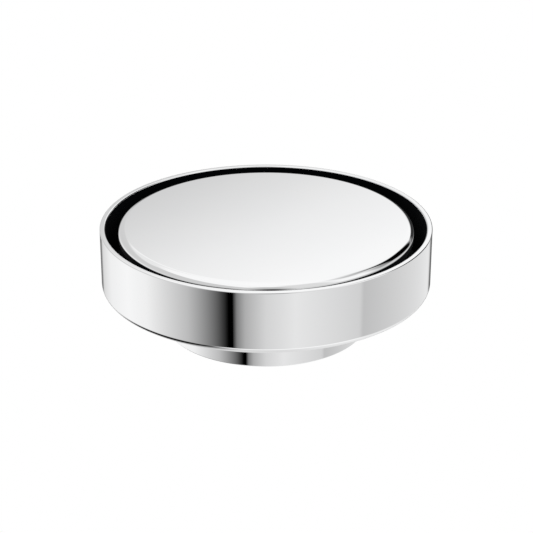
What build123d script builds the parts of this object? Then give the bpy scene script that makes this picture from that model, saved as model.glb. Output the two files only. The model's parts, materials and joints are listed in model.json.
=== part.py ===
"""Round floor drain: polished ring body, solid lift-out cover, strainer and self-closing odour trap.

Millimetres. +Z is up. The origin is the centre of the outlet's lower edge, so the drain stands on Z = 0.
"""
from build123d import *
import os
from math import cos, radians, sin

os.makedirs("parts", exist_ok=True)

# ---- driving dimensions -------------------------------------------------------------------------
RING_DIAMETER = 130.0
OUTLET_DIAMETER = 80.0
RING_HEIGHT = 24.9
OUTLET_DROP = 17.8            # length of the outlet below the ring
RIM_WALL = 2.1
SLOT_WIDTH = 5.1              # water slot between the rim and the cover
COVER_SINK = 0.2              # the cover's top face sits this far below the rim
COVER_THICKNESS = 5.0
COVER_EDGE_ROUND = 2.5
RING_BOTTOM_ROUND = 2.4
RIM_ROUND = 0.5
FLOOR_CORNER_ROUND = 1.5
FLOOR_THICKNESS = 4.5
FIT = 0.05                    # radial clearance of a close fit

# ---- heights ------------------------------------------------------------------------------------
RING_BOTTOM = OUTLET_DROP
RIM_TOP = RING_BOTTOM + RING_HEIGHT
FLOOR_TOP = RING_BOTTOM + FLOOR_THICKNESS
COVER_TOP = RIM_TOP - COVER_SINK
COVER_BOTTOM = COVER_TOP - COVER_THICKNESS

# ---- radii --------------------------------------------------------------------------------------
RING_R = RING_DIAMETER / 2
RIM_INNER_R = RING_R - RIM_WALL
COVER_R = RIM_INNER_R - SLOT_WIDTH
OUTLET_R = OUTLET_DIAMETER / 2
OUTLET_WALL = 2.5
OUTLET_INNER_R = OUTLET_R - OUTLET_WALL
NECK_R = OUTLET_R + 0.6         # the tail is a little thicker where it passes the floor

# ---- outlet tail: a flanged tube dropped through the floor from above ---------------------------
FLANGE_THICKNESS = 1.8
FLANGE_R = OUTLET_R + 7.4
FLANGE_BOTTOM = FLOOR_TOP - FLANGE_THICKNESS
TAIL_EDGE_BREAK = 0.3
TAIL_SCREWS = 4
TAIL_SCREW_CIRCLE_R = OUTLET_R + 4.6
TAIL_SCREW_R = 1.5
TAIL_SCREW_HEAD_R = 2.7
TAIL_SCREW_HEAD_DEPTH = TAIL_SCREW_HEAD_R - TAIL_SCREW_R
TAIL_SCREW_END = RING_BOTTOM + 0.6
TAIL_SEAL_R = OUTLET_R + 1.9
TAIL_SEAL_SECTION_R = 0.72
TAIL_SEAL_GROOVE_WIDTH = 1.6
TAIL_SEAL_GROOVE_DEPTH = 1.45
HEX_SOCKET_R = 1.15
HEX_SOCKET_DEPTH = 1.0

# ---- cover legs ---------------------------------------------------------------------------------
LEGS = 4
LEG_START_ANGLE = 45.0
LEG_CIRCLE_R = COVER_R - 5.0
LEG_ACROSS_FLATS = 5.5
LEG_TIP_R = 2.2
FOOT_R = 3.3
FOOT_HEIGHT = 4.0
FOOT_SOLE = 1.2
FOOT_RECESS_R = 3.6
FOOT_RECESS_DEPTH = 0.8
FOOT_BOTTOM = FLOOR_TOP - FOOT_RECESS_DEPTH
FOOT_TOP = FOOT_BOTTOM + FOOT_HEIGHT
STUD_R = 1.5
STUD_DEPTH_IN_COVER = 2.8
STUD_DEPTH_IN_LEG = 4.0

# ---- odour trap housing -------------------------------------------------------------------------
SEAT_Z = 8.0
HOUSING_R = OUTLET_INNER_R - 0.2
HOUSING_WALL = 2.8
HOUSING_INNER_R = HOUSING_R - HOUSING_WALL
HOUSING_FLANGE_R = OUTLET_R + 1.0
HOUSING_FLANGE_THICKNESS = 1.5
HOUSING_TOP = FLOOR_TOP + HOUSING_FLANGE_THICKNESS
THROAT_R = HOUSING_INNER_R - 5.0
THROAT_OUTER_R = THROAT_R + 2.5
THROAT_OUTER_TOP = 9.5
SHOULDER_OUTER_TOP = 12.8
THROAT_INNER_TOP = 10.5
LEDGE_Z = 13.5
LEDGE_INNER_R = HOUSING_INNER_R - 2.2
HOUSING_SEAL_SECTION_R = 0.8
HOUSING_SEAL_R = OUTLET_INNER_R - FIT - HOUSING_SEAL_SECTION_R
HOUSING_GROOVE_DEPTH = 1.5
HOUSING_GROOVE_BOTTOM = 16.4
HOUSING_GROOVE_WIDTH = 2.2

# ---- stem guide ---------------------------------------------------------------------------------
GUIDE_ARMS = 4
GUIDE_REACH_R = HOUSING_INNER_R - 0.2
GUIDE_THICKNESS = 2.0
GUIDE_ARM_WIDTH = 3.0
GUIDE_TOP = LEDGE_Z + GUIDE_THICKNESS
HUB_R = 6.0
HUB_BOTTOM = 10.5
HUB_POCKET_R = 4.6
HUB_POCKET_FLOOR = 12.0

# ---- valve --------------------------------------------------------------------------------------
STEM_R = 2.0
STEM_BOTTOM = 4.2
STEM_TOP = 23.9
STEM_COLLAR_R = 3.5
STEM_COLLAR_THICKNESS = 1.0
RETAINER_R = 5.0
RETAINER_BOTTOM = 21.5
RETAINER_THICKNESS = 1.0
RETAINER_NOSE_R = 2.9
RETAINER_NOSE = 1.0
CLIP_THICKNESS = 0.6
CLIP_R = 3.6
CLIP_GROOVE_R = 1.5
CLIP_MOUTH = 2.6
CLIP_BOTTOM = RETAINER_BOTTOM + RETAINER_THICKNESS
SPRING_R = 3.5
SPRING_WIRE_R = 0.3
SPRING_TURNS = 6
DISC_R = THROAT_R + 3.0
DISC_BOTTOM = 5.0
DISC_RIM_TOP = 6.6
DISC_CENTRE_R = THROAT_R - 3.5
DISC_RECESS_R = DISC_CENTRE_R - 3.5
DISC_RECESS_TOP = 6.4
DISC_RIBS = 8
DISC_RIB_WIDTH = 1.2
DISC_RIB_INNER_R = 6.5
GASKET_INNER_R = DISC_CENTRE_R + 0.1
GASKET_OUTER_R = DISC_R - 0.5
CLAMP_INNER_R = DISC_CENTRE_R - 3.0
CLAMP_OUTER_R = DISC_CENTRE_R + 2.6
CLAMP_THICKNESS = 0.6
CLAMP_TOP = SEAT_Z + CLAMP_THICKNESS
CLAMP_SCREWS = 6
CLAMP_SCREW_CIRCLE_R = DISC_CENTRE_R - 1.6
CLAMP_SCREW_R = 0.9
CLAMP_SCREW_HEAD_R = 1.5
CLAMP_SCREW_HEAD_HEIGHT = 0.7
CLAMP_SCREW_DEPTH = 1.6
NUT_ACROSS_FLATS = 7.0
DISC_NUT_HEIGHT = 2.0

# ---- strainer -----------------------------------------------------------------------------------
STRAINER_R = OUTLET_R - 0.5
STRAINER_RIM_THICKNESS = 0.8
STRAINER_SKIRT_R = HOUSING_INNER_R - 0.3
STRAINER_SKIRT_WALL = 0.8
STRAINER_SKIRT_DEPTH = 2.0
STRAINER_CONE_BASE_R = HOUSING_INNER_R - 1.9
STRAINER_TOP_R = STRAINER_CONE_BASE_R - 3.6
STRAINER_RISE = 4.8
STRAINER_SHEET = 1.0
STRAINER_TOP = HOUSING_TOP + STRAINER_RISE
STRAINER_HOLE_R = 1.5
STRAINER_HOLE_RINGS = ((10.5, 12), (15.3, 18), (20.1, 24), (24.9, 30))
STRAINER_SLOTS = 36
STRAINER_SLOT_WIDTH = 2.0
KNOB_R = 6.5
KNOB_WAIST_R = 3.6
KNOB_HEIGHT = 5.0
KNOB_ROUND = 0.8
KNOB_STUD_R = 2.0
KNOB_NUT_HEIGHT = 1.6


# ---- helpers ------------------------------------------------------------------------------------
def turned(*outline):
    """Solid turned about Z from (radius, height) corners."""
    return revolve(make_face(Plane.XZ * Polyline(*outline, close=True)), axis=Axis.Z)


def tube(inner_r, outer_r, bottom, top):
    return turned((inner_r, bottom), (outer_r, bottom), (outer_r, top), (inner_r, top))


def rod(radius, bottom, top):
    return Pos(0, 0, bottom) * extrude(Circle(radius), amount=top - bottom)


def hex_bar(across_flats, bottom, top):
    section = RegularPolygon(across_flats / 2, 6, major_radius=False)
    return Pos(0, 0, bottom) * extrude(section, amount=top - bottom)


def seal_ring(major_r, section_r, height):
    return Pos(0, 0, height) * Torus(major_r, section_r)


def spread(shape, circle_r, count, start_angle=0.0):
    """Copies of a shape made on the Z axis, spread round a circle."""
    return [place * shape for place in PolarLocations(circle_r, count, start_angle)]


def round_edge(solid, edge_r, height, round_r):
    """Round the circular edge that has this radius and height."""
    edges = [
        edge for edge in solid.edges().filter_by(GeomType.CIRCLE)
        if abs(edge.radius - edge_r) < 0.01 and abs(edge.arc_center.Z - height) < 0.01
    ]
    return fillet(edges, round_r)


def group(solids):
    """Separate solids kept together as one node."""
    return Compound([piece for shape in solids for piece in shape.solids()])


# ---- body ---------------------------------------------------------------------------------------
def ring_body():
    bore_r = NECK_R + FIT
    rebate_r = FLANGE_R + FIT
    cup = turned(
        (bore_r, RING_BOTTOM), (RING_R, RING_BOTTOM), (RING_R, RIM_TOP), (RIM_INNER_R, RIM_TOP),
        (RIM_INNER_R, FLOOR_TOP), (rebate_r, FLOOR_TOP), (rebate_r, FLANGE_BOTTOM),
        (bore_r, FLANGE_BOTTOM),
    )
    cup = round_edge(cup, RING_R, RING_BOTTOM, RING_BOTTOM_ROUND)
    cup = round_edge(cup, RING_R, RIM_TOP, RIM_ROUND)
    cup = round_edge(cup, RIM_INNER_R, RIM_TOP, RIM_ROUND)
    cup = round_edge(cup, RIM_INNER_R, FLOOR_TOP, FLOOR_CORNER_ROUND)
    half_groove = TAIL_SEAL_GROOVE_WIDTH / 2
    groove_bottom = FLANGE_BOTTOM - TAIL_SEAL_GROOVE_DEPTH
    cup -= tube(TAIL_SEAL_R - half_groove, TAIL_SEAL_R + half_groove, groove_bottom, FLANGE_BOTTOM)
    foot_recess = rod(FOOT_RECESS_R, FOOT_BOTTOM, FLOOR_TOP)
    cup -= spread(foot_recess, LEG_CIRCLE_R, LEGS, LEG_START_ANGLE)
    tapped_hole = rod(TAIL_SCREW_R + FIT, TAIL_SCREW_END - FIT, FLANGE_BOTTOM)
    return cup - spread(tapped_hole, TAIL_SCREW_CIRCLE_R, TAIL_SCREWS)


def outlet_tail():
    tail = turned(
        (OUTLET_INNER_R, 0), (OUTLET_R, 0), (OUTLET_R, RING_BOTTOM), (NECK_R, RING_BOTTOM),
        (NECK_R, FLANGE_BOTTOM), (FLANGE_R, FLANGE_BOTTOM), (FLANGE_R, FLOOR_TOP),
        (OUTLET_INNER_R, FLOOR_TOP),
    )
    tail = round_edge(tail, OUTLET_R, 0, TAIL_EDGE_BREAK)
    seat_bottom = FLOOR_TOP - TAIL_SCREW_HEAD_DEPTH
    countersink = turned(
        (0, FLANGE_BOTTOM), (TAIL_SCREW_R + FIT, FLANGE_BOTTOM), (TAIL_SCREW_R + FIT, seat_bottom),
        (TAIL_SCREW_HEAD_R + FIT, FLOOR_TOP), (0, FLOOR_TOP),
    )
    return tail - spread(countersink, TAIL_SCREW_CIRCLE_R, TAIL_SCREWS)


def tail_screws():
    screw = turned(
        (0, TAIL_SCREW_END), (TAIL_SCREW_R, TAIL_SCREW_END),
        (TAIL_SCREW_R, FLOOR_TOP - TAIL_SCREW_HEAD_DEPTH), (TAIL_SCREW_HEAD_R, FLOOR_TOP),
        (0, FLOOR_TOP),
    )
    screw -= hex_bar(2 * HEX_SOCKET_R, FLOOR_TOP - HEX_SOCKET_DEPTH, FLOOR_TOP)
    return group(spread(screw, TAIL_SCREW_CIRCLE_R, TAIL_SCREWS))


def tail_seal_ring():
    groove_bottom = FLANGE_BOTTOM - TAIL_SEAL_GROOVE_DEPTH
    return seal_ring(TAIL_SEAL_R, TAIL_SEAL_SECTION_R, groove_bottom + TAIL_SEAL_SECTION_R)


# ---- cover --------------------------------------------------------------------------------------
def cover_plate():
    plate = rod(COVER_R, COVER_BOTTOM, COVER_TOP)
    plate = round_edge(plate, COVER_R, COVER_TOP, COVER_EDGE_ROUND)
    plate = round_edge(plate, COVER_R, COVER_BOTTOM, RIM_ROUND)
    stud_hole = rod(STUD_R + FIT, COVER_BOTTOM, COVER_BOTTOM + STUD_DEPTH_IN_COVER + FIT)
    return plate - spread(stud_hole, LEG_CIRCLE_R, LEGS, LEG_START_ANGLE)


def cover_legs():
    leg = hex_bar(LEG_ACROSS_FLATS, FOOT_TOP, COVER_BOTTOM)
    leg += rod(LEG_TIP_R, FOOT_BOTTOM + FOOT_SOLE, FOOT_TOP)
    leg -= rod(STUD_R + FIT, COVER_BOTTOM - STUD_DEPTH_IN_LEG - FIT, COVER_BOTTOM)
    return group(spread(leg, LEG_CIRCLE_R, LEGS, LEG_START_ANGLE))


def leg_studs():
    stud = rod(STUD_R, COVER_BOTTOM - STUD_DEPTH_IN_LEG, COVER_BOTTOM + STUD_DEPTH_IN_COVER)
    return group(spread(stud, LEG_CIRCLE_R, LEGS, LEG_START_ANGLE))


def leg_feet():
    foot = rod(FOOT_R, FOOT_BOTTOM, FOOT_TOP)
    foot = round_edge(foot, FOOT_R, FOOT_BOTTOM, RIM_ROUND)
    foot -= rod(LEG_TIP_R + FIT, FOOT_BOTTOM + FOOT_SOLE, FOOT_TOP)
    return group(spread(foot, LEG_CIRCLE_R, LEGS, LEG_START_ANGLE))


# ---- strainer -----------------------------------------------------------------------------------
def strainer_plate():
    skirt_bottom = HOUSING_TOP - STRAINER_SKIRT_DEPTH
    skirt_inner_r = STRAINER_SKIRT_R - STRAINER_SKIRT_WALL
    rim_top = HOUSING_TOP + STRAINER_RIM_THICKNESS
    underside = STRAINER_TOP - STRAINER_SHEET
    stud_hole_r = KNOB_STUD_R + FIT
    plate = turned(
        (skirt_inner_r, skirt_bottom), (STRAINER_SKIRT_R, skirt_bottom), (STRAINER_SKIRT_R, HOUSING_TOP),
        (STRAINER_R, HOUSING_TOP), (STRAINER_R, rim_top), (STRAINER_CONE_BASE_R, rim_top),
        (STRAINER_TOP_R, STRAINER_TOP), (stud_hole_r, STRAINER_TOP), (stud_hole_r, underside),
        (STRAINER_TOP_R - RIM_ROUND, underside), (STRAINER_CONE_BASE_R - STRAINER_SHEET, HOUSING_TOP),
        (skirt_inner_r, HOUSING_TOP),
    )
    hole = rod(STRAINER_HOLE_R, underside, STRAINER_TOP)
    for circle_r, count in STRAINER_HOLE_RINGS:
        plate -= spread(hole, circle_r, count)
    slot_r = (STRAINER_TOP_R + STRAINER_CONE_BASE_R) / 2
    slot_length = STRAINER_CONE_BASE_R - STRAINER_TOP_R - STRAINER_SHEET
    slot = Pos(0, 0, underside) * Box(slot_length, STRAINER_SLOT_WIDTH, 2 * STRAINER_RISE)
    return plate - spread(slot, slot_r, STRAINER_SLOTS)


def strainer_knob():
    waist_top = STRAINER_TOP + KNOB_HEIGHT / 2
    knob_top = STRAINER_TOP + KNOB_HEIGHT
    stud_bottom = STRAINER_TOP - STRAINER_SHEET - KNOB_NUT_HEIGHT - RIM_ROUND / 2
    knob = turned(
        (0, stud_bottom), (KNOB_STUD_R, stud_bottom), (KNOB_STUD_R, STRAINER_TOP),
        (KNOB_WAIST_R, STRAINER_TOP), (KNOB_WAIST_R, waist_top), (KNOB_R, waist_top),
        (KNOB_R, knob_top), (0, knob_top),
    )
    knob = round_edge(knob, KNOB_R, knob_top, KNOB_ROUND)
    return round_edge(knob, KNOB_R, waist_top, KNOB_ROUND)


def strainer_nut():
    top = STRAINER_TOP - STRAINER_SHEET
    bottom = top - KNOB_NUT_HEIGHT
    return hex_bar(NUT_ACROSS_FLATS, bottom, top) - rod(KNOB_STUD_R + FIT, bottom, top)


# ---- odour trap ---------------------------------------------------------------------------------
def trap_housing():
    housing = turned(
        (THROAT_R, SEAT_Z), (THROAT_OUTER_R, SEAT_Z), (THROAT_OUTER_R, THROAT_OUTER_TOP),
        (HOUSING_R, SHOULDER_OUTER_TOP), (HOUSING_R, FLOOR_TOP), (HOUSING_FLANGE_R, FLOOR_TOP),
        (HOUSING_FLANGE_R, HOUSING_TOP), (HOUSING_INNER_R, HOUSING_TOP), (HOUSING_INNER_R, LEDGE_Z),
        (LEDGE_INNER_R, LEDGE_Z), (THROAT_R, THROAT_INNER_TOP),
    )
    groove_top = HOUSING_GROOVE_BOTTOM + HOUSING_GROOVE_WIDTH
    groove_r = HOUSING_R - HOUSING_GROOVE_DEPTH
    return housing - tube(groove_r, OUTLET_R, HOUSING_GROOVE_BOTTOM, groove_top)


def housing_seal_ring():
    height = HOUSING_GROOVE_BOTTOM + HOUSING_GROOVE_WIDTH / 2
    return seal_ring(HOUSING_SEAL_R, HOUSING_SEAL_SECTION_R, height)


def stem_guide():
    guide = rod(HUB_R, HUB_BOTTOM, GUIDE_TOP)
    arm_length = GUIDE_REACH_R - HUB_POCKET_R
    arm = Box(arm_length, GUIDE_ARM_WIDTH, GUIDE_THICKNESS)
    arm = Pos(0, 0, LEDGE_Z + GUIDE_THICKNESS / 2) * arm
    guide += spread(arm, HUB_POCKET_R + arm_length / 2, GUIDE_ARMS)
    guide -= rod(HUB_POCKET_R, HUB_POCKET_FLOOR, GUIDE_TOP)
    return guide - rod(STEM_R + FIT, HUB_BOTTOM, HUB_POCKET_FLOOR)


def valve_spring():
    height = RETAINER_BOTTOM - HUB_POCKET_FLOOR - 2 * SPRING_WIRE_R
    coil = Helix(height / SPRING_TURNS, height, SPRING_R)
    wire = Plane(origin=coil @ 0, z_dir=coil % 0) * Circle(SPRING_WIRE_R)
    return Pos(0, 0, HUB_POCKET_FLOOR + SPRING_WIRE_R) * sweep(wire, path=coil, is_frenet=True)


def valve_stem():
    collar_top = SEAT_Z + STEM_COLLAR_THICKNESS
    clip_top = CLIP_BOTTOM + CLIP_THICKNESS
    return turned(
        (0, STEM_BOTTOM), (STEM_R, STEM_BOTTOM), (STEM_R, SEAT_Z), (STEM_COLLAR_R, SEAT_Z),
        (STEM_COLLAR_R, collar_top), (STEM_R, collar_top), (STEM_R, CLIP_BOTTOM),
        (CLIP_GROOVE_R, CLIP_BOTTOM), (CLIP_GROOVE_R, clip_top), (STEM_R, clip_top),
        (STEM_R, STEM_TOP), (0, STEM_TOP),
    )


def spring_retainer():
    nose_bottom = RETAINER_BOTTOM - RETAINER_NOSE
    top = RETAINER_BOTTOM + RETAINER_THICKNESS
    bore_r = STEM_R + FIT
    return turned(
        (bore_r, nose_bottom), (RETAINER_NOSE_R, nose_bottom), (RETAINER_NOSE_R, RETAINER_BOTTOM),
        (RETAINER_R, RETAINER_BOTTOM), (RETAINER_R, top), (bore_r, top),
    )


def stem_clip():
    clip_top = CLIP_BOTTOM + CLIP_THICKNESS
    clip = tube(CLIP_GROOVE_R + FIT, CLIP_R, CLIP_BOTTOM, clip_top)
    mouth = Box(CLIP_R, CLIP_MOUTH, CLIP_THICKNESS, align=(Align.MIN, Align.CENTER, Align.MIN))
    return clip - Pos(0, 0, CLIP_BOTTOM) * mouth


def valve_disc():
    bore_r = STEM_R + FIT
    disc = turned(
        (bore_r, DISC_RECESS_TOP), (bore_r, SEAT_Z), (DISC_CENTRE_R, SEAT_Z), (DISC_CENTRE_R, DISC_RIM_TOP),
        (DISC_R, DISC_RIM_TOP), (DISC_R, DISC_BOTTOM), (DISC_RECESS_R, DISC_BOTTOM),
        (DISC_RECESS_R, DISC_RECESS_TOP),
    )
    rib_depth = DISC_RECESS_TOP - DISC_BOTTOM
    rib = Box(DISC_RECESS_R - DISC_RIB_INNER_R, DISC_RIB_WIDTH, rib_depth)
    rib = Pos(0, 0, DISC_BOTTOM + rib_depth / 2) * rib
    disc += spread(rib, (DISC_RECESS_R + DISC_RIB_INNER_R) / 2, DISC_RIBS)
    screw_hole = rod(CLAMP_SCREW_R + FIT, SEAT_Z - CLAMP_SCREW_DEPTH, SEAT_Z)
    return disc - spread(screw_hole, CLAMP_SCREW_CIRCLE_R, CLAMP_SCREWS)


def valve_gasket():
    return tube(GASKET_INNER_R, GASKET_OUTER_R, DISC_RIM_TOP, SEAT_Z)


def gasket_clamp():
    clamp = tube(CLAMP_INNER_R, CLAMP_OUTER_R, SEAT_Z, CLAMP_TOP)
    return clamp - spread(rod(CLAMP_SCREW_R + FIT, SEAT_Z, CLAMP_TOP), CLAMP_SCREW_CIRCLE_R, CLAMP_SCREWS)


def clamp_screws():
    screw = rod(CLAMP_SCREW_R, SEAT_Z - CLAMP_SCREW_DEPTH, CLAMP_TOP)
    screw += rod(CLAMP_SCREW_HEAD_R, CLAMP_TOP, CLAMP_TOP + CLAMP_SCREW_HEAD_HEIGHT)
    return group(spread(screw, CLAMP_SCREW_CIRCLE_R, CLAMP_SCREWS))


def disc_nut():
    bottom = DISC_RECESS_TOP - DISC_NUT_HEIGHT
    return hex_bar(NUT_ACROSS_FLATS, bottom, DISC_RECESS_TOP) - rod(STEM_R + FIT, bottom, DISC_RECESS_TOP)


NODES = {
    "ring_body": ring_body,
    "outlet_tail": outlet_tail,
    "tail_screws": tail_screws,
    "tail_seal_ring": tail_seal_ring,
    "cover_plate": cover_plate,
    "cover_legs": cover_legs,
    "leg_studs": leg_studs,
    "leg_feet": leg_feet,
    "strainer_plate": strainer_plate,
    "strainer_knob": strainer_knob,
    "strainer_nut": strainer_nut,
    "trap_housing": trap_housing,
    "housing_seal_ring": housing_seal_ring,
    "stem_guide": stem_guide,
    "valve_spring": valve_spring,
    "valve_stem": valve_stem,
    "spring_retainer": spring_retainer,
    "stem_clip": stem_clip,
    "valve_disc": valve_disc,
    "valve_gasket": valve_gasket,
    "gasket_clamp": gasket_clamp,
    "clamp_screws": clamp_screws,
    "disc_nut": disc_nut,
}

for node_name, make in NODES.items():
    export_step(make(), f"parts/{node_name}.step")
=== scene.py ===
import json
from collections import namedtuple
from math import atan2, cos, pi, radians, sin

import bpy
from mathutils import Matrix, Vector


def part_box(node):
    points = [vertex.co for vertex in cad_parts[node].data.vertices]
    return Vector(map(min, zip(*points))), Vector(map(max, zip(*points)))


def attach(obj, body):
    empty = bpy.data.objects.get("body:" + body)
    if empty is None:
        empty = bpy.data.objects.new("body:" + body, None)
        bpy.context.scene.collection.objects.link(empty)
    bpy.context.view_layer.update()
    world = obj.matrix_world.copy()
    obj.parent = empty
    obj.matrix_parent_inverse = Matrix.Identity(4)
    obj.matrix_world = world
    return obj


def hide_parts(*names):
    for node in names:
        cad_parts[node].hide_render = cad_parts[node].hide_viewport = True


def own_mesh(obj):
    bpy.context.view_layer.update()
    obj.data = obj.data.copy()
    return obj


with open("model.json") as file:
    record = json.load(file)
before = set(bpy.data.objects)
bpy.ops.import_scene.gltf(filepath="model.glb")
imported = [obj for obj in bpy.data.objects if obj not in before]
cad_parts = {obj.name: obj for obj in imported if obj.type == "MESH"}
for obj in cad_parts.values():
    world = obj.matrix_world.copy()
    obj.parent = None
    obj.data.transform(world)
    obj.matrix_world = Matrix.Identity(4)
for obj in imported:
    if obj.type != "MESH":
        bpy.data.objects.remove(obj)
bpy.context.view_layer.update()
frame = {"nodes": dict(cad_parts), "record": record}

MM = 0.001

# ---- sizes: heights come from the frame, and radii repeat the CAD's driving dimensions -----------
ring_low, ring_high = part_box("ring_body")
tail_low, tail_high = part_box("outlet_tail")
cover_low, cover_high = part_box("cover_plate")
feet_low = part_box("leg_feet")[0]
spring_low, spring_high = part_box("valve_spring")

FIT = 0.05 * MM
RING_R = ring_high.x
RING_BOTTOM = ring_low.z
RING_BOTTOM_ROUND = 2.4 * MM
BASE_R = RING_R - RING_BOTTOM_ROUND
RIM_TOP = ring_high.z
RIM_WALL = 2.1 * MM
RIM_INNER_R = RING_R - RIM_WALL
RIM_ROUND = 0.5 * MM
RECESS_FLOOR = feet_low.z
FOOT_RECESS_R = 3.6 * MM

OUTLET_BOTTOM = tail_low.z
OUTLET_R = 40 * MM
OUTLET_WALL = 2.5 * MM
OUTLET_INNER_R = OUTLET_R - OUTLET_WALL
OUTLET_EDGE_BREAK = 0.3 * MM
NECK_R = OUTLET_R + 0.6 * MM
FLOOR_TOP = tail_high.z
FLANGE_R = tail_high.x
FLANGE_THICKNESS = 1.8 * MM
FLANGE_BOTTOM = FLOOR_TOP - FLANGE_THICKNESS
SCREW_CIRCLE_R = OUTLET_R + 4.6 * MM
SCREW_HEAD_R = 2.7 * MM
SCREW_SEAT_R = SCREW_HEAD_R + FIT
SCREW_START_ANGLE = 0

COVER_R = cover_high.x
COVER_EDGE_ROUND = 2.5 * MM
# The upper share of the cover's round stays chrome. Below it the edge gets painted shade: a painted
# dark reflection of the slot.
COVER_BRIGHT_SHARE = 0.84
COVER_PAINTED_SHADE_FROM = cover_high.z - COVER_BRIGHT_SHARE * COVER_EDGE_ROUND
LEG_CIRCLE_R = COVER_R - 5 * MM
LEG_START_ANGLE = 45

SPRING_R = 3.5 * MM
SPRING_WIRE_R = 0.3 * MM
SPRING_TURNS = 6
SPRING_CLOSED_SHARE = 0.06

# Fineness of the meshes: steps in a turned piece, a plate, a hole, a rounded edge and a turn of wire.
TURN_STEPS = 288
PLATE_STEPS = 144
HOLE_STEPS = 48
ARC_STEPS = 12
COIL_STEPS = 32
WIRE_RESOLUTION = 5
# Points that agree to a tenth of a micrometre share a vertex.
POINTS_PER_METRE = 1e7
SHORTEST_LINE = 1e-9


# ---- meshes -------------------------------------------------------------------------------------
def add_object(name, data):
    """New object in the scene from a mesh, curve, light or camera."""
    item = bpy.data.objects.new(name, data)
    bpy.context.scene.collection.objects.link(item)
    return item


def line(start, end):
    """A straight stretch of a profile as points of (radius, height, normal radius, normal height)."""
    along = end - start
    length = along.length
    normal = (along.y / length, -along.x / length)
    return [(*start, *normal), (*end, *normal)]


def arc(centre, radius, start, end):
    """A rounded stretch of a profile, the short way round from start to end."""
    first_turn = atan2(start.y - centre.y, start.x - centre.x)
    last_turn = atan2(end.y - centre.y, end.x - centre.x)
    sweep = (last_turn - first_turn + pi) % (2 * pi) - pi
    outwards = 1 if sweep > 0 else -1
    points = []
    for k in range(ARC_STEPS + 1):
        turn = first_turn + sweep * k / ARC_STEPS
        place = (centre.x + radius * cos(turn), centre.y + radius * sin(turn))
        points.append((*place, outwards * cos(turn), outwards * sin(turn)))
    return points


def rounded(before, corner, after):
    """Where a corner's round starts and ends, its centre and its radius, which is 0 if it is sharp."""
    here = Vector(corner[:2])
    radius = corner[2] if len(corner) > 2 else 0.0
    way_in = (here - Vector(before[:2])).normalized()
    way_out = (Vector(after[:2]) - here).normalized()
    reach = radius * (way_in - way_out).length / (way_in + way_out).length
    start, end = here - way_in * reach, here + way_out * reach
    # A clockwise turn, which angle_signed gives as positive, has its centre on the right.
    side = -1 if way_in.angle_signed(way_out) > 0 else 1
    centre = start + Vector((-way_in.y, way_in.x)) * radius * side
    return start, end, centre, radius


def profile(corners):
    """Stretches of a closed outline. Corners go anticlockwise as (radius, height) or with a round."""
    count = len(corners)
    rounds = [rounded(corners[k - 1], corners[k], corners[(k + 1) % count]) for k in range(count)]
    stretches = []
    for k, (start, end, centre, radius) in enumerate(rounds):
        if radius > 0:
            stretches.append(arc(centre, radius, start, end))
        following = rounds[(k + 1) % count][0]
        if (following - end).length > SHORTEST_LINE:
            stretches.append(line(end, following))
    return stretches


class Lathe:
    """Mesh turned about Z, with the profile's own normals so that long faces reflect cleanly."""

    def __init__(self):
        self.vertices, self.faces, self.normals, self.rings = [], [], [], {}

    def ring(self, radius, height):
        """First vertex of the ring at a radius and height. On the axis it is a single vertex."""
        key = (round(radius * POINTS_PER_METRE), round(height * POINTS_PER_METRE))
        if key not in self.rings:
            self.rings[key] = len(self.vertices)
            steps = TURN_STEPS if key[0] else 1
            turns = [2 * pi * k / TURN_STEPS for k in range(steps)]
            self.vertices.extend((radius * cos(turn), radius * sin(turn), height) for turn in turns)
        return self.rings[key]

    def corner(self, point, step):
        """Vertex and normal of a profile point turned by some steps."""
        radius, height, normal_radius, normal_height = point
        vertex = self.ring(radius, height) + (step % TURN_STEPS if radius else 0)
        turn = 2 * pi * step / TURN_STEPS
        return vertex, (normal_radius * cos(turn), normal_radius * sin(turn), normal_height)

    def band(self, low, high):
        """Faces between two neighbouring points of the profile, which are triangles at the axis."""
        for step in range(TURN_STEPS):
            corners = [self.corner(low, step)] if low[0] else []
            corners += [self.corner(low, step + 1), self.corner(high, step + 1)]
            corners += [self.corner(high, step)] if high[0] else []
            self.faces.append([vertex for vertex, _ in corners])
            self.normals.extend(normal for _, normal in corners)

    def piece(self, name):
        mesh = bpy.data.meshes.new(name)
        mesh.from_pydata(self.vertices, [], self.faces)
        mesh.validate()
        mesh.shade_smooth()
        mesh.normals_split_custom_set([Vector(normal).normalized() for normal in self.normals])
        return add_object(name, mesh)


def turned(name, *corners):
    """Piece turned from the corners of its profile. A stretch along the axis makes no faces."""
    lathe = Lathe()
    for stretch in profile(corners):
        for low, high in zip(stretch, stretch[1:]):
            if low[0] or high[0]:
                lathe.band(low, high)
    return lathe.piece(name)


def as_mesh(name, curve):
    """Mesh piece made from a curve."""
    source = add_object(name + "_curve", curve)
    evaluated = source.evaluated_get(bpy.context.evaluated_depsgraph_get())
    mesh = bpy.data.meshes.new_from_object(evaluated)
    mesh.name = name
    bpy.data.objects.remove(source)
    return add_object(name, mesh)


def add_circle(curve, x, y, radius, steps):
    """Closed round outline in a flat curve."""
    spline = curve.splines.new("POLY")
    spline.points.add(steps - 1)
    spline.use_cyclic_u = True
    for k, point in enumerate(spline.points):
        turn = 2 * pi * k / steps
        point.co = (x + radius * cos(turn), y + radius * sin(turn), 0, 1)


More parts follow.
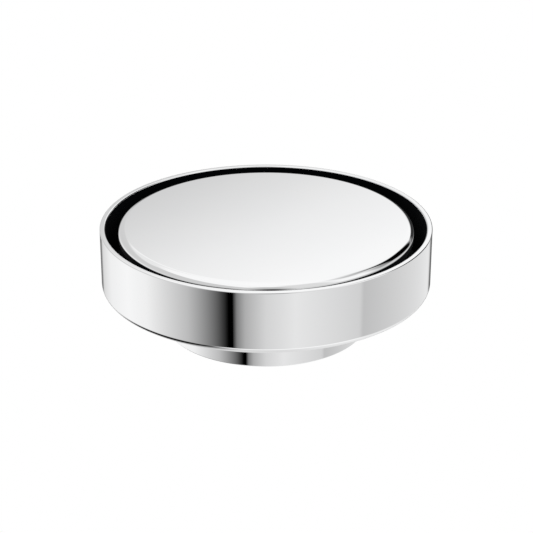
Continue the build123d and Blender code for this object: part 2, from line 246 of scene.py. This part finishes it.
def holed_plate(name, outer_r, inner_r, holes_circle_r, start_angle, hole_r, bottom):
    """Flat annular plate from bottom to the floor's top, with four round holes."""
    half = (FLOOR_TOP - bottom) / 2
    curve = bpy.data.curves.new(name, "CURVE")
    curve.dimensions = "2D"
    curve.fill_mode = "BOTH"
    curve.extrude = half
    add_circle(curve, 0, 0, outer_r, PLATE_STEPS)
    add_circle(curve, 0, 0, inner_r, PLATE_STEPS)
    for quarter in range(4):
        turn = radians(start_angle + 90 * quarter)
        add_circle(curve, holes_circle_r * cos(turn), holes_circle_r * sin(turn), hole_r, HOLE_STEPS)
    piece = as_mesh(name, curve)
    for vertex in piece.data.vertices:
        vertex.co.z += bottom + half
    return piece


# ---- materials ----------------------------------------------------------------------------------
# The Mix node's colour sockets, which go by number because several of its sockets share a name.
MIX_FIRST, MIX_SECOND, MIX_RESULT = 6, 7, 2


class Nodes:
    """Small helper round a node tree."""

    def __init__(self, tree):
        self.tree = tree
        tree.nodes.clear()

    def add(self, kind, inputs=None, **settings):
        node = self.tree.nodes.new(kind)
        for key, value in settings.items():
            setattr(node, key, value)
        for key, value in (inputs or {}).items():
            socket = node.inputs[key]
            if isinstance(value, bpy.types.NodeSocket):
                self.tree.links.new(value, socket)
            else:
                socket.default_value = value
        return node

    def math(self, operation, *values):
        return self.add("ShaderNodeMath", dict(enumerate(values)), operation=operation).outputs[0]

    def remap(self, value, from_range, to_range, smooth=False):
        inputs = {"Value": value}
        inputs.update(zip(("From Min", "From Max", "To Min", "To Max"), (*from_range, *to_range)))
        kind = "SMOOTHSTEP" if smooth else "LINEAR"
        return self.add("ShaderNodeMapRange", inputs, interpolation_type=kind).outputs[0]

    def noise(self, vector, scale, detail):
        inputs = {"Vector": vector, "Scale": scale, "Detail": detail}
        return self.add("ShaderNodeTexNoise", inputs).outputs["Fac"]

    def mix_colour(self, factor, first, second):
        inputs = {"Factor": factor, MIX_FIRST: first, MIX_SECOND: second}
        return self.add("ShaderNodeMix", inputs, data_type="RGBA").outputs[MIX_RESULT]

    def mix_shader(self, factor, first, second):
        inputs = {0: factor, 1: first.outputs[0], 2: second.outputs[0]}
        return self.add("ShaderNodeMixShader", inputs)

    def split(self, vector):
        return self.add("ShaderNodeSeparateXYZ", {"Vector": vector}).outputs

    def bump(self, height, strength, depth):
        inputs = {"Height": height, "Strength": strength, "Distance": depth}
        return self.add("ShaderNodeBump", inputs).outputs[0]


def colour(red, green, blue):
    return (red, green, blue, 1.0)


def grey(level):
    return colour(level, level, level)


def new_material(name):
    material = bpy.data.materials.new(name)
    material.use_nodes = True
    nodes = Nodes(material.node_tree)
    place = nodes.add("ShaderNodeTexCoord").outputs["Object"]
    return material, nodes, place


def finish_material(material, nodes, shader):
    nodes.add("ShaderNodeOutputMaterial", {"Surface": shader.outputs[0]})
    return material


def around_axis(nodes, place, sweep):
    """Coordinates that follow the turning direction: radius and height change fast, angle slowly."""
    x, y, z = nodes.split(place)
    squares = nodes.math("ADD", nodes.math("MULTIPLY", x, x), nodes.math("MULTIPLY", y, y))
    radius = nodes.math("SQRT", squares)
    swept = nodes.math("MULTIPLY", nodes.math("ARCTAN2", y, x), sweep)
    return nodes.add("ShaderNodeCombineXYZ", {0: radius, 1: swept, 2: z}).outputs[0]


def metal(material, nodes, tint, roughness, normal):
    """Finish a material as bare metal."""
    shader = nodes.add("ShaderNodeBsdfPrincipled", {
        "Base Color": tint, "Metallic": 1.0, "Roughness": roughness, "Normal": normal,
    })
    return finish_material(material, nodes, shader)


def paint_shade_below(nodes, place, haze, painted_shade_from, tint, roughness):
    """Tint and roughness with painted shade, which fades them into dull black below a height."""
    fade_depth = 0.4 * MM
    dull = 0.3
    height = nodes.split(place)[2]
    below = nodes.remap(height, (painted_shade_from - fade_depth, painted_shade_from), (1.0, 0.0), smooth=True)
    # Painted shade: near-black colour standing in for the dark slot that the cover's edge would mirror.
    black = nodes.mix_colour(haze, colour(0.006, 0.008, 0.011), colour(0.012, 0.015, 0.019))
    tint = nodes.mix_colour(below, tint, black)
    return tint, nodes.math("ADD", roughness, nodes.math("MULTIPLY", below, dull))


def polished_chrome(name="polished_chrome", painted_shade_from=None):
    """Mirror plate with faint haze and turning marks, and with painted shade fading it into black below
    the given height, if one is given.
    """
    material, nodes, place = new_material(name)
    haze = nodes.noise(place, scale=35.0, detail=5.0)
    marks = nodes.noise(around_axis(nodes, place, sweep=0.004), scale=2600.0, detail=3.0)
    hazy = nodes.remap(haze, (0.35, 0.75), (0.012, 0.045))
    marked = nodes.remap(marks, (0.55, 0.8), (0.0, 0.02))
    roughness = nodes.math("ADD", hazy, marked)
    tint = nodes.mix_colour(haze, colour(0.90, 0.905, 0.915), grey(0.93))
    if painted_shade_from is not None:
        tint, roughness = paint_shade_below(nodes, place, haze, painted_shade_from, tint, roughness)
    normal = nodes.bump(marks, strength=0.004, depth=0.02 * MM)
    return metal(material, nodes, tint, roughness, normal)


def satin_steel(name):
    """Steel with a fine turned grain and cloudy sheen."""
    material, nodes, place = new_material(name)
    grain = nodes.noise(around_axis(nodes, place, sweep=0.002), scale=3200.0, detail=4.0)
    cloud = nodes.noise(place, scale=60.0, detail=4.0)
    grained = nodes.remap(grain, (0.3, 0.7), (0.22, 0.36))
    clouded = nodes.remap(cloud, (0.4, 0.7), (0.0, 0.08))
    tint = nodes.mix_colour(cloud, colour(0.50, 0.50, 0.51), grey(0.66))
    normal = nodes.bump(grain, strength=0.12, depth=0.1 * MM)
    return metal(material, nodes, tint, nodes.math("ADD", grained, clouded), normal)


def moulded(name, dark, light, roughness, grain_scale, grain_strength, subsurface=0.0, specular=0.5):
    """Rubber, plastic or the black of painted shade, with a fine grain and cloudy colour between dark
    and light.
    """
    material, nodes, place = new_material(name)
    grain = nodes.noise(place, scale=grain_scale, detail=4.0)
    cloud = nodes.noise(place, scale=45.0, detail=5.0)
    cloudy = nodes.remap(cloud, (0.3, 0.7), (0.0, 1.0))
    shader = nodes.add("ShaderNodeBsdfPrincipled", {
        "Base Color": nodes.mix_colour(cloudy, colour(*dark), colour(*light)),
        "Roughness": nodes.remap(cloud, (0.3, 0.7), roughness),
        "Normal": nodes.bump(grain, grain_strength, depth=0.2 * MM),
        "Specular IOR Level": specular,
        "Subsurface Weight": subsurface,
        "Subsurface Scale": 2 * MM,
    })
    return finish_material(material, nodes, shader)


MATERIALS = {
    "polished_chrome": polished_chrome(),
    # The cover's chrome, with painted shade on the lower part of its rounded edge.
    "cover_chrome_painted_shade": polished_chrome("cover_chrome_painted_shade", COVER_PAINTED_SHADE_FROM),
    "satin_steel": satin_steel("satin_steel"),
    "spring_steel": satin_steel("spring_steel"),
    "black_rubber": moulded(
        "black_rubber", dark=(0.012, 0.012, 0.013), light=(0.022, 0.022, 0.023),
        roughness=(0.55, 0.75), grain_scale=1800.0, grain_strength=0.25),
    # Painted shade: black that stands in for the shade inside the slot, on the ring's floor and on the
    # cover's side.
    "painted_shade_black": moulded(
        "painted_shade_black", dark=(0.0006, 0.0009, 0.0013), light=(0.0016, 0.0021, 0.003),
        roughness=(0.6, 0.8), grain_scale=1500.0, grain_strength=0.08, specular=0.01),
    "grey_silicone": moulded(
        "grey_silicone", dark=(0.42, 0.45, 0.46), light=(0.50, 0.52, 0.53),
        roughness=(0.28, 0.42), grain_scale=900.0, grain_strength=0.1, subsurface=0.3),
    "trap_plastic": moulded(
        "trap_plastic", dark=(0.018, 0.019, 0.021), light=(0.030, 0.031, 0.034),
        roughness=(0.35, 0.5), grain_scale=1400.0, grain_strength=0.2),
    "valve_plastic": moulded(
        "valve_plastic", dark=(0.70, 0.70, 0.68), light=(0.78, 0.78, 0.76),
        roughness=(0.3, 0.45), grain_scale=1100.0, grain_strength=0.08, subsurface=0.15),
}


def paint(piece, look):
    """Give the whole piece one material."""
    piece.data.materials.clear()
    piece.data.materials.append(MATERIALS[look])


# Every CAD node gets the material of its slot. Some are replaced further down.
for part in frame["record"]["subparts"]:
    paint(frame["nodes"][part["node"]], part["material_slot"])


# ---- the pieces that replace CAD nodes ----------------------------------------------------------
def ring_wall():
    """The ring's wall with its rim and its rounded lower edge."""
    return turned(
        "ring_wall", (BASE_R, RING_BOTTOM), (RING_R, RING_BOTTOM, RING_BOTTOM_ROUND),
        (RING_R, RIM_TOP, RIM_ROUND), (RIM_INNER_R, RIM_TOP, RIM_ROUND), (RIM_INNER_R, RECESS_FLOOR),
        (BASE_R, RECESS_FLOOR))


def ring_base():
    """The ring's floor inside the wall, up to the bottom of the foot recesses."""
    bore_r = NECK_R + FIT
    seat_r = FLANGE_R + FIT
    return turned(
        "ring_base", (bore_r, RING_BOTTOM), (BASE_R, RING_BOTTOM), (BASE_R, RECESS_FLOOR),
        (seat_r, RECESS_FLOOR), (seat_r, FLANGE_BOTTOM), (bore_r, FLANGE_BOTTOM))


def ring_floor():
    """The top of the ring's floor, with a round recess for each foot."""
    return holed_plate(
        "ring_floor", RIM_INNER_R, FLANGE_R + FIT, LEG_CIRCLE_R, LEG_START_ANGLE, FOOT_RECESS_R,
        RECESS_FLOOR)


def outlet_tube():
    """The tube, with a wider neck in the ring's floor."""
    return turned(
        "outlet_tube", (OUTLET_INNER_R, OUTLET_BOTTOM, OUTLET_EDGE_BREAK),
        (OUTLET_R, OUTLET_BOTTOM, OUTLET_EDGE_BREAK), (OUTLET_R, RING_BOTTOM), (NECK_R, RING_BOTTOM),
        (NECK_R, FLANGE_BOTTOM), (OUTLET_INNER_R, FLANGE_BOTTOM))


def outlet_flange():
    """The tail's flange, with a round seat for each screw head."""
    return holed_plate(
        "outlet_flange", FLANGE_R, OUTLET_INNER_R, SCREW_CIRCLE_R, SCREW_START_ANGLE, SCREW_SEAT_R,
        FLANGE_BOTTOM)


def cover_disc():
    """The solid cover, with a large round on its upper edge."""
    return turned(
        "cover_disc", (0, cover_low.z), (COVER_R, cover_low.z, RIM_ROUND),
        (COVER_R, cover_high.z, COVER_EDGE_ROUND), (0, cover_high.z))


def coil_spring():
    """Round wire on a helix, with part of a turn closed flat at each end."""
    curve = bpy.data.curves.new("coil_spring", "CURVE")
    curve.dimensions = "3D"
    curve.bevel_depth = SPRING_WIRE_R
    curve.bevel_resolution = WIRE_RESOLUTION
    steps = SPRING_TURNS * COIL_STEPS
    low, high = spring_low.z + SPRING_WIRE_R, spring_high.z - SPRING_WIRE_R
    spline = curve.splines.new("POLY")
    spline.points.add(steps)
    for k, point in enumerate(spline.points):
        turn = 2 * pi * k / COIL_STEPS
        rise = (k / steps - SPRING_CLOSED_SHARE) / (1 - 2 * SPRING_CLOSED_SHARE)
        height = low + (high - low) * min(1.0, max(0.0, rise))
        point.co = (SPRING_R * cos(turn), SPRING_R * sin(turn), height, 1.0)
    piece = as_mesh("coil_spring", curve)
    piece.data.shade_smooth()
    return piece


def place_piece(piece, body, slot, *nodes, look=None):
    """Let a piece ride on a body in place of CAD nodes, in its slot's material or another look."""
    paint(piece, look or slot)
    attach(piece, body)
    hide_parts(*nodes)
    return piece


def refinish(piece, look, chosen):
    """Give another material, a finish or painted shade, to the faces that the test chooses by their
    centre.
    """
    index = len(piece.data.materials)
    piece.data.materials.append(MATERIALS[look])
    for face in piece.data.polygons:
        if chosen(face.center):
            face.material_index = index


def on_inner_wall(place):
    return place.xy.length < RIM_INNER_R + FIT and RING_BOTTOM + FIT < place.z < RIM_TOP - RIM_ROUND


def on_recess_floor(place):
    return place.z > RECESS_FLOOR - FIT


def on_cover_side(place):
    return place.z < cover_high.z - COVER_EDGE_ROUND


def on_cover_underside(place):
    return place.z < cover_low.z + FIT


wall = place_piece(ring_wall(), "drain_body", "polished_chrome", "ring_body")
# Painted shade: the inner wall is black below the rim's round.
refinish(wall, "painted_shade_black", on_inner_wall)
# Out of sight of reflections, so that the cover's rounded edge doesn't mirror the slot, whose black is
# painted shade.
wall.visible_glossy = False
base = place_piece(ring_base(), "drain_body", "polished_chrome", "ring_body")
# Painted shade: the recess floor and the ring's floor are black.
refinish(base, "painted_shade_black", on_recess_floor)
place_piece(ring_floor(), "drain_body", "polished_chrome", "ring_body", look="painted_shade_black")
place_piece(outlet_tube(), "drain_body", "polished_chrome", "outlet_tail")
place_piece(outlet_flange(), "drain_body", "polished_chrome", "outlet_tail")
cover = place_piece(cover_disc(), "cover", "polished_chrome", "cover_plate", look="cover_chrome_painted_shade")
# Painted shade: the cover's side below its round is black.
refinish(cover, "painted_shade_black", on_cover_side)
refinish(cover, "satin_steel", on_cover_underside)
spring = place_piece(coil_spring(), "trap", "spring_steel", "valve_spring")
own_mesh(spring)


# ---- studio -------------------------------------------------------------------------------------
# The surroundings that the mirror finish shows. Compass 0 is the camera's side of the
# object, 90 is the right-hand side and 180 is behind. Heights are degrees above the horizon, and
# levels are brightness from 0 to 1. The walls' levels go by compass, the table's by how far to the
# right it is, and the ceiling's by height above an edge that is lower on the right.
WALL_LEVELS = (
    (-180, 0.10), (-160, 0.20), (-155, 0.65), (-135, 0.85), (-110, 0.92), (-90, 0.86), (-55, 0.50),
    (-30, 0.05), (-26, 0.0), (-22, 0.0), (-20, 0.20), (-14, 0.42), (0, 0.65), (20, 0.78), (67, 0.63),
    (70, 0.52), (150, 0.78), (155, 0.70), (160, 0.14), (180, 0.10),
)
TABLE_LEVELS = ((-0.5, 0.0), (-0.2, 0.66), (0.2, 0.72), (0.7, 0.85))
CEILING_LEVELS = ((-45, 0.62), (-25, 0.60), (-3, 0.62), (0, 0.83), (2.4, 0.94), (20, 0.93), (60, 0.95))
CEILING_EDGE_HEIGHT = 22.9
CEILING_EDGE_SLOPE = 24.0
# Heights between which the table fades into the walls, and the walls into the ceiling.
TABLE_TO_WALL = (-44, -30)
WALL_TO_CEILING = (-18, 0)
CHROME_REFLECTANCE = 0.92

# A panel is a soft rectangle of one level. Its compass and height are ranges, and fade and softness
# are how soft its sides and its upper and lower edges are. Its edges climb by tilt degrees of height
# for each degree of compass. Where from_back is True, the compass is counted from behind the object,
# with the left as plus, so that the panel may lie across the back.
Panel = namedtuple("Panel", "level compass height fade softness tilt from_back")
PANELS = (
    Panel(0.71, (14, 52), (4, 60), 9, 9, 0.0, False),         # grey board at the right front
    Panel(0.50, (-112, -55), (38, 58), 14, 8, 0.0, True),     # grey board above the flag
    Panel(0.35, (-92, -70), (0, 34), 10, 9, 0.0, True),       # grey board beside the flag
    Panel(0.0, (-76, -40), (-5, 42), 5, 5, -0.6, True),       # black flag at the right rear
    Panel(0.03, (-38, 11), (-18, 12), 4, 3, 0.0, True),       # dark opening behind
    Panel(0.80, (13, 75), (31, 48), 6, 5, 0.0, True),         # dimmer ceiling at the left rear
    Panel(0.50, (-9, 16), (13, 42), 9, 6, 0.0, False),        # the camera
    Panel(0.04, (-7, 15), (-17, 11), 11, 6, 0.0, False),      # the camera's stand
    Panel(0.95, (-34, 75), (-44, -31), 10, 2.5, 0.0, False),  # lit edge of the table
)

Softbox = namedtuple("Softbox", "name place size power")
SOFTBOXES = (
    Softbox("key_softbox", (0.5, -0.3, 0.9), 0.8, 6.0),
    Softbox("fill_softbox", (-0.7, -0.4, 0.6), 0.8, 2.5),
)

FLOOR_HALF = 3.0
FLOOR_GAP = 0.2 * MM

CAMERA_PITCH = radians(24.12)
CAMERA_DISTANCE = 651.95 * MM
CAMERA_DROP = 17.15 * MM
CAMERA_SIDE = 0.169 * MM
LENS_MM = 112.37
SENSOR_MM = 36.0
NEAREST_VIEW = 0.01


def ramp(nodes, value, stops):
    """Piecewise-linear brightness of a value."""
    low, high = stops[0][0], stops[-1][0]
    node = nodes.add("ShaderNodeValToRGB", {"Fac": nodes.remap(value, (low, high), (0.0, 1.0))})
    elements = node.color_ramp.elements
    while len(elements) < len(stops):
        elements.new(1.0)
    for element, (at, level) in zip(elements, stops):
        element.position = (at - low) / (high - low)
        element.color = grey(level)
    return node.outputs[0]


def between(nodes, value, low, high, softness):
    """1 where a value is between low and high, with soft edges."""
    rises = nodes.remap(value, (low - softness, low + softness), (0.0, 1.0), smooth=True)
    falls = nodes.remap(value, (high - softness, high + softness), (1.0, 0.0), smooth=True)
    return nodes.math("MULTIPLY", rises, falls)


def add_panel(nodes, surroundings, panel, compass, height):
    """The surroundings with one more panel in front of them."""
    middle = sum(panel.compass) / 2
    offset = nodes.math("MULTIPLY", nodes.math("SUBTRACT", compass, middle), panel.tilt)
    level_height = nodes.math("SUBTRACT", height, offset)
    across = between(nodes, compass, *panel.compass, panel.fade)
    up = between(nodes, level_height, *panel.height, panel.softness)
    return nodes.mix_colour(nodes.math("MULTIPLY", across, up), surroundings, grey(panel.level))


def room(nodes, x, compass, height):
    """The table, the walls and the ceiling, blended by height."""
    edge = nodes.math("SUBTRACT", height, CEILING_EDGE_HEIGHT)
    above_edge = nodes.math("ADD", edge, nodes.math("MULTIPLY", x, CEILING_EDGE_SLOPE))
    above_table = nodes.remap(height, TABLE_TO_WALL, (0.0, 1.0), smooth=True)
    above_wall = nodes.remap(height, WALL_TO_CEILING, (0.0, 1.0), smooth=True)
    table, wall_band = ramp(nodes, x, TABLE_LEVELS), ramp(nodes, compass, WALL_LEVELS)
    lower = nodes.mix_colour(above_table, table, wall_band)
    return nodes.mix_colour(above_wall, lower, ramp(nodes, above_edge, CEILING_LEVELS))


def studio_world():
    """Surroundings for reflections and light. The camera itself sees plain white behind the object."""
    world = bpy.data.worlds.new("studio")
    bpy.context.scene.world = world
    world.use_nodes = True
    nodes = Nodes(world.node_tree)
    x, y, z = nodes.split(nodes.add("ShaderNodeTexCoord").outputs["Generated"])
    back_x, front_y = nodes.math("MULTIPLY", x, -1.0), nodes.math("MULTIPLY", y, -1.0)
    compass = nodes.math("DEGREES", nodes.math("ARCTAN2", x, front_y))
    from_back = nodes.math("DEGREES", nodes.math("ARCTAN2", back_x, y))
    height = nodes.math("DEGREES", nodes.math("ARCSINE", z))
    studio = room(nodes, x, compass, height)
    for panel in PANELS:
        studio = add_panel(nodes, studio, panel, from_back if panel.from_back else compass, height)
    seen_directly = nodes.add("ShaderNodeLightPath").outputs["Is Camera Ray"]
    reflected = nodes.add("ShaderNodeBackground", {"Color": studio, "Strength": 1 / CHROME_REFLECTANCE})
    plain = nodes.add("ShaderNodeBackground", {"Color": grey(1.0), "Strength": 1.0})
    both = nodes.mix_shader(seen_directly, reflected, plain)
    nodes.add("ShaderNodeOutputWorld", {"Surface": both.outputs[0]})


def pale_floor():
    """Plain white floor, which is clear from below and isn't mirrored in the chrome."""
    material, nodes, _ = new_material("pale_floor")
    glow = nodes.add("ShaderNodeEmission", {"Color": grey(1.0), "Strength": 1.0})
    clear = nodes.add("ShaderNodeBsdfTransparent")
    from_below = nodes.add("ShaderNodeNewGeometry").outputs["Backfacing"]
    finish_material(material, nodes, nodes.mix_shader(from_below, glow, clear))
    signs = ((-1, -1), (1, -1), (1, 1), (-1, 1))
    corners = [(x * FLOOR_HALF, y * FLOOR_HALF, -FLOOR_GAP) for x, y in signs]
    mesh = bpy.data.meshes.new("floor")
    mesh.from_pydata(corners, [], [(0, 1, 2, 3)])
    mesh.materials.append(material)
    floor = add_object("floor", mesh)
    floor.visible_glossy = False


def softbox(box):
    """Square area light that faces the origin, and isn't mirrored in the chrome."""
    light = bpy.data.lights.new(box.name, "AREA")
    light.size = box.size
    light.energy = box.power
    lamp = add_object(box.name, light)
    lamp.location = box.place
    lamp.rotation_euler = (-Vector(box.place)).to_track_quat("-Z", "Y").to_euler()
    lamp.visible_glossy = False


def camera():
    """The photograph's viewpoint, worked out from the rim's centre."""
    data = bpy.data.cameras.new("camera")
    data.lens = LENS_MM
    data.sensor_width = SENSOR_MM
    data.clip_start = NEAREST_VIEW
    eye = add_object("camera", data)
    rim_centre = Vector((0, 0, RIM_TOP))
    to_right = Vector((1, 0, 0))
    forward = Vector((0, cos(CAMERA_PITCH), -sin(CAMERA_PITCH)))
    upward = Vector((0, sin(CAMERA_PITCH), cos(CAMERA_PITCH)))
    aim = rim_centre + CAMERA_SIDE * to_right - CAMERA_DROP * upward
    eye.location = aim - CAMERA_DISTANCE * forward
    eye.rotation_euler = (pi / 2 - CAMERA_PITCH, 0, 0)
    bpy.context.scene.camera = eye


studio_world()
pale_floor()
for box in SOFTBOXES:
    softbox(box)
camera()
bpy.context.scene.view_settings.view_transform = "Standard"
